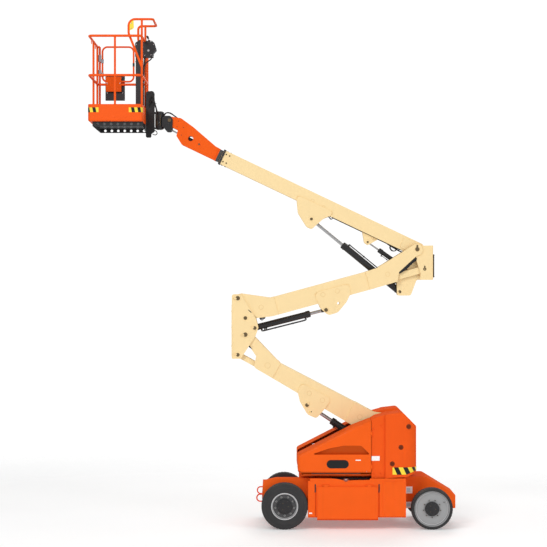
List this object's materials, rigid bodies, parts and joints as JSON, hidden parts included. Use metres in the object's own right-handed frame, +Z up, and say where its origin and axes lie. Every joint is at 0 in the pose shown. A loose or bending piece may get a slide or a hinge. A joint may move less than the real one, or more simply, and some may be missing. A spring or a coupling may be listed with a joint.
{
  "type": "articulating boom lift",
  "caption": "Self-propelled articulating boom lift: two arms on parallel links, a telescoping boom, a levelled work platform, a swinging turntable and a steered wheeled chassis.",
  "frame": {"origin": "on the floor, at the middle of the machine length and width", "axes": "+X towards the counterweight and steered wheels, -X towards the platform, +Y to the left side, +Z up"},
  "size_m": [5.026, 1.4986, 6.952],
  "materials": {
    "orange_paint": "gloss",
    "orange_cast": "painted",
    "orange_moulding": "gloss",
    "ring_paint": "gloss",
    "cream_paint": "gloss",
    "black_paint": "satin",
    "rod_chrome": "polished",
    "tyre_rubber": "matte",
    "rim_dark": "satin",
    "rim_grey": "satin",
    "fly_paint": "gloss",
    "dark_plastic": "matte",
    "pad_rubber": "matte",
    "battery_case": "matte",
    "pack_paint": "satin",
    "hinge_grey": "satin"
  },
  "bodies": {
    "chassis": {"chassis_frame": "orange_paint", "axles": "black_paint", "battery_boxes": "orange_paint", "batteries": "battery_case", "tie_down_rings": "ring_paint", "slew_ring": "black_paint"},
    "battery_door_left": {"battery_door_left": "orange_paint"},
    "battery_door_right": {"battery_door_right": "orange_paint"},
    "rear_wheel_left": {"rear_tyre_left": "tyre_rubber", "rear_rim_left": "rim_dark"},
    "rear_wheel_right": {"rear_tyre_right": "tyre_rubber", "rear_rim_right": "rim_dark"},
    "knuckle_left": {"knuckle_left": "black_paint"},
    "knuckle_right": {"knuckle_right": "black_paint"},
    "tie_rod": {"tie_rod": "black_paint"},
    "front_wheel_left": {"front_tyre_left": "tyre_rubber", "front_rim_left": "rim_grey"},
    "front_wheel_right": {"front_tyre_right": "tyre_rubber", "front_rim_right": "rim_grey"},
    "turntable": {"turntable_frame": "orange_paint", "counterweight": "orange_cast", "power_pack": "pack_paint"},
    "hood_left": {"hood_left": "orange_moulding"},
    "hood_right": {"hood_right": "orange_moulding"},
    "lower_arm": {"lower_arm": "cream_paint"},
    "lower_link": {"lower_link": "cream_paint"},
    "upright_1": {"upright_1": "cream_paint"},
    "lower_barrel": {"lower_barrel": "black_paint"},
    "lower_rod": {"lower_rod": "rod_chrome"},
    "upper_arm": {"upper_arm": "cream_paint"},
    "upper_link": {"upper_link": "cream_paint"},
    "upright_2": {"upright_2": "cream_paint", "bumper_pad": "pad_rubber"},
    "mid_barrel": {"mid_barrel": "black_paint"},
    "mid_rod": {"mid_rod": "rod_chrome"},
    "main_boom": {"main_boom": "cream_paint", "boom_collar": "dark_plastic"},
    "lift_barrel": {"lift_barrel": "black_paint"},
    "lift_rod": {"lift_rod": "rod_chrome"},
    "master_barrel": {"master_barrel": "black_paint"},
    "master_rod": {"master_rod": "rod_chrome"},
    "fly_boom": {"fly_boom": "fly_paint", "boom_nose": "orange_paint"},
    "platform_head": {"level_clevis": "black_paint"},
    "slave_barrel": {"slave_barrel": "black_paint"},
    "slave_rod": {"slave_rod": "rod_chrome"},
    "platform": {"platform_support": "black_paint", "floor_frame": "black_paint", "platform_basket": "orange_paint", "gate_hinges": "hinge_grey", "control_console": "dark_plastic", "manual_box": "dark_plastic"},
    "gate": {"gate": "orange_paint"}
  },
  "joints": [
    {"name": "rear_wheel_left_roll", "type": "hinge", "parent": "chassis", "child": "rear_wheel_left", "pos_m": [0.151, 0.66, 0.316], "axis": [0, 1, 0], "continuous": true},
    {"name": "front_wheel_left_roll", "type": "hinge", "parent": "knuckle_left", "child": "front_wheel_left", "pos_m": [2.147, 0.66, 0.2825], "axis": [0, 1, 0], "continuous": true},
    {"name": "rear_wheel_right_roll", "type": "hinge", "parent": "chassis", "child": "rear_wheel_right", "pos_m": [0.151, -0.66, 0.316], "axis": [0, 1, 0], "continuous": true},
    {"name": "front_wheel_right_roll", "type": "hinge", "parent": "knuckle_right", "child": "front_wheel_right", "pos_m": [2.147, -0.66, 0.2825], "axis": [0, 1, 0], "continuous": true},
    {"name": "steering", "type": "hinge", "parent": "chassis", "child": "knuckle_left", "pos_m": [2.147, 0.52, 0.2825], "axis": [0, 0, 1], "range_deg": [-35, 35]},
    {"name": "steering_right", "type": "hinge", "parent": "chassis", "child": "knuckle_right", "pos_m": [2.147, -0.52, 0.2825], "axis": [0, 0, 1], "range_deg": [-36, 36]},
    {"name": "tie_rod_turn", "type": "hinge", "parent": "knuckle_left", "child": "tie_rod", "pos_m": [1.997, 0.52, 0.2125], "axis": [0, 0, 1], "range_deg": [-36, 36]},
    {"name": "battery_door_left_swing", "type": "hinge", "parent": "chassis", "child": "battery_door_left", "pos_m": [1.003, 0.728, 0.602], "axis": [1, 0, 0], "range_deg": [0, 85]},
    {"name": "battery_door_right_swing", "type": "hinge", "parent": "chassis", "child": "battery_door_right", "pos_m": [1.003, -0.728, 0.602], "axis": [-1, 0, 0], "range_deg": [0, 85]},
    {"name": "swing", "type": "hinge", "parent": "chassis", "child": "turntable", "pos_m": [1.145, 0, 0.712], "axis": [0, 0, 1], "range_deg": [-175, 175]},
    {"name": "hood_left_swing", "type": "hinge", "parent": "turntable", "child": "hood_left", "pos_m": [1.334, 0.682, 0.9], "axis": [0, 0, -1], "range_deg": [0, 90]},
    {"name": "hood_right_swing", "type": "hinge", "parent": "turntable", "child": "hood_right", "pos_m": [1.334, -0.682, 0.9], "axis": [0, 0, 1], "range_deg": [0, 90]},
    {"name": "lower_arm_lift", "type": "hinge", "parent": "turntable", "child": "lower_arm", "pos_m": [1.832, 0, 1.393], "axis": [0, 1, 0], "range_deg": [-31, 39]},
    {"name": "lower_link_turn", "type": "hinge", "parent": "turntable", "child": "lower_link", "pos_m": [1.727, 0, 1.113], "axis": [0, 1, 0], "range_deg": [-32, 40]},
    {"name": "upright_1_level", "type": "hinge", "parent": "lower_arm", "child": "upright_1", "pos_m": [-0.38953, 0, 2.62442], "axis": [0, 1, 0], "range_deg": [-40, 32]},
    {"name": "lower_barrel_turn", "type": "hinge", "parent": "turntable", "child": "lower_barrel", "pos_m": [1.609, 0, 0.89], "axis": [0, 1, 0], "range_deg": [-29.32, 36.63]},
    {"name": "lower_rod_slide", "type": "slide", "parent": "lower_barrel", "child": "lower_rod", "axis": [-0.8338, 0, 0.5521], "range_m": [-0.2898, 0.362]},
    {"name": "upper_arm_lift", "type": "hinge", "parent": "upright_1", "child": "upper_arm", "pos_m": [-0.49453, 0, 3.12802], "axis": [0, -1, 0], "range_deg": [-15, 54.75]},
    {"name": "upper_link_turn", "type": "hinge", "parent": "upright_1", "child": "upper_link", "pos_m": [-0.38953, 0, 2.85402], "axis": [0, -1, 0], "range_deg": [-16, 55.75]},
    {"name": "upright_2_level", "type": "hinge", "parent": "upper_arm", "child": "upright_2", "pos_m": [1.99172, 0, 3.80585], "axis": [0, -1, 0], "range_deg": [-55.75, 16]},
    {"name": "mid_barrel_turn", "type": "hinge", "parent": "upright_1", "child": "mid_barrel", "pos_m": [-0.26003, 0, 2.71602], "axis": [0, 1, 0], "range_deg": [-54.31, 15.61]},
    {"name": "mid_rod_slide", "type": "slide", "parent": "mid_barrel", "child": "mid_rod", "axis": [0.9695, 0, 0.2452], "range_m": [-0.1249, 0.4295]},
    {"name": "boom_lower", "type": "hinge", "parent": "upright_2", "child": "main_boom", "pos_m": [1.99172, 0, 3.80585], "axis": [0, -1, 0], "range_deg": [-46.6, 30.4]},
    {"name": "lift_barrel_turn", "type": "hinge", "parent": "upright_2", "child": "lift_barrel", "pos_m": [1.75472, 0, 3.21685], "axis": [0, 1, 0], "range_deg": [-26.74, 40.46]},
    {"name": "lift_rod_slide", "type": "slide", "parent": "lift_barrel", "child": "lift_rod", "axis": [-0.7724, 0, 0.6351], "range_m": [-0.3087, 0.4678]},
    {"name": "master_barrel_turn", "type": "hinge", "parent": "upright_2", "child": "master_barrel", "pos_m": [1.84772, 0, 3.52985], "axis": [0, 1, 0], "range_deg": [-28.08, 42.51]},
    {"name": "master_rod_slide", "type": "slide", "parent": "master_barrel", "child": "master_rod", "axis": [-0.8179, 0, 0.5753], "range_m": [-0.1635, 0.2453]},
    {"name": "fly_extend", "type": "slide", "parent": "main_boom", "child": "fly_boom", "axis": [-0.9033, 0, 0.4289], "range_m": [0, 1.5]},
    {"name": "platform_level", "type": "hinge", "parent": "fly_boom", "child": "platform_head", "pos_m": [-1.44565, 0, 5.60076], "axis": [0, -1, 0], "range_deg": [-31.4, 47.6]},
    {"name": "slave_barrel_turn", "type": "hinge", "parent": "fly_boom", "child": "slave_barrel", "pos_m": [-1.03405, 0, 5.26694], "axis": [0, 1, 0], "range_deg": [-5.25, 7.52]},
    {"name": "slave_rod_slide", "type": "slide", "parent": "slave_barrel", "child": "slave_rod", "axis": [-0.8874, 0, 0.461], "range_m": [-0.0782, 0.0545]},
    {"name": "platform_rotate", "type": "hinge", "parent": "platform_head", "child": "platform", "pos_m": [-1.587, 0, 5.60076], "axis": [0, 0, 1], "range_deg": [-90, 90]},
    {"name": "gate_swing", "type": "hinge", "parent": "platform", "child": "gate", "pos_m": [-2.44, 0.593, 6.45], "axis": [0, 0, -1], "range_deg": [0, 90]}
  ],
  "couplings": [
    {"joint": "steering_right", "follows": "steering", "ratio": 1},
    {"joint": "tie_rod_turn", "follows": "steering", "ratio": -1},
    {"joint": "lower_link_turn", "follows": "lower_arm_lift", "ratio": 1},
    {"joint": "upright_1_level", "follows": "lower_arm_lift", "ratio": -1},
    {"joint": "lower_barrel_turn", "follows": "lower_arm_lift", "ratio": 0.91354},
    {"joint": "lower_rod_slide", "follows": "lower_arm_lift", "m_per_rad": 0.51713},
    {"joint": "upper_link_turn", "follows": "upper_arm_lift", "ratio": 1},
    {"joint": "upright_2_level", "follows": "upper_arm_lift", "ratio": -1},
    {"joint": "mid_barrel_turn", "follows": "upper_arm_lift", "ratio": -0.97375},
    {"joint": "mid_rod_slide", "follows": "upper_arm_lift", "m_per_rad": 0.43896},
    {"joint": "lift_barrel_turn", "follows": "boom_lower", "ratio": -0.84683},
    {"joint": "lift_rod_slide", "follows": "boom_lower", "m_per_rad": -0.56292},
    {"joint": "master_barrel_turn", "follows": "boom_lower", "ratio": -0.89084},
    {"joint": "master_rod_slide", "follows": "boom_lower", "m_per_rad": -0.28932},
    {"joint": "platform_level", "follows": "boom_lower", "ratio": -1},
    {"joint": "slave_barrel_turn", "follows": "boom_lower", "ratio": -0.13989},
    {"joint": "slave_rod_slide", "follows": "boom_lower", "m_per_rad": 0.08383}
  ]
}
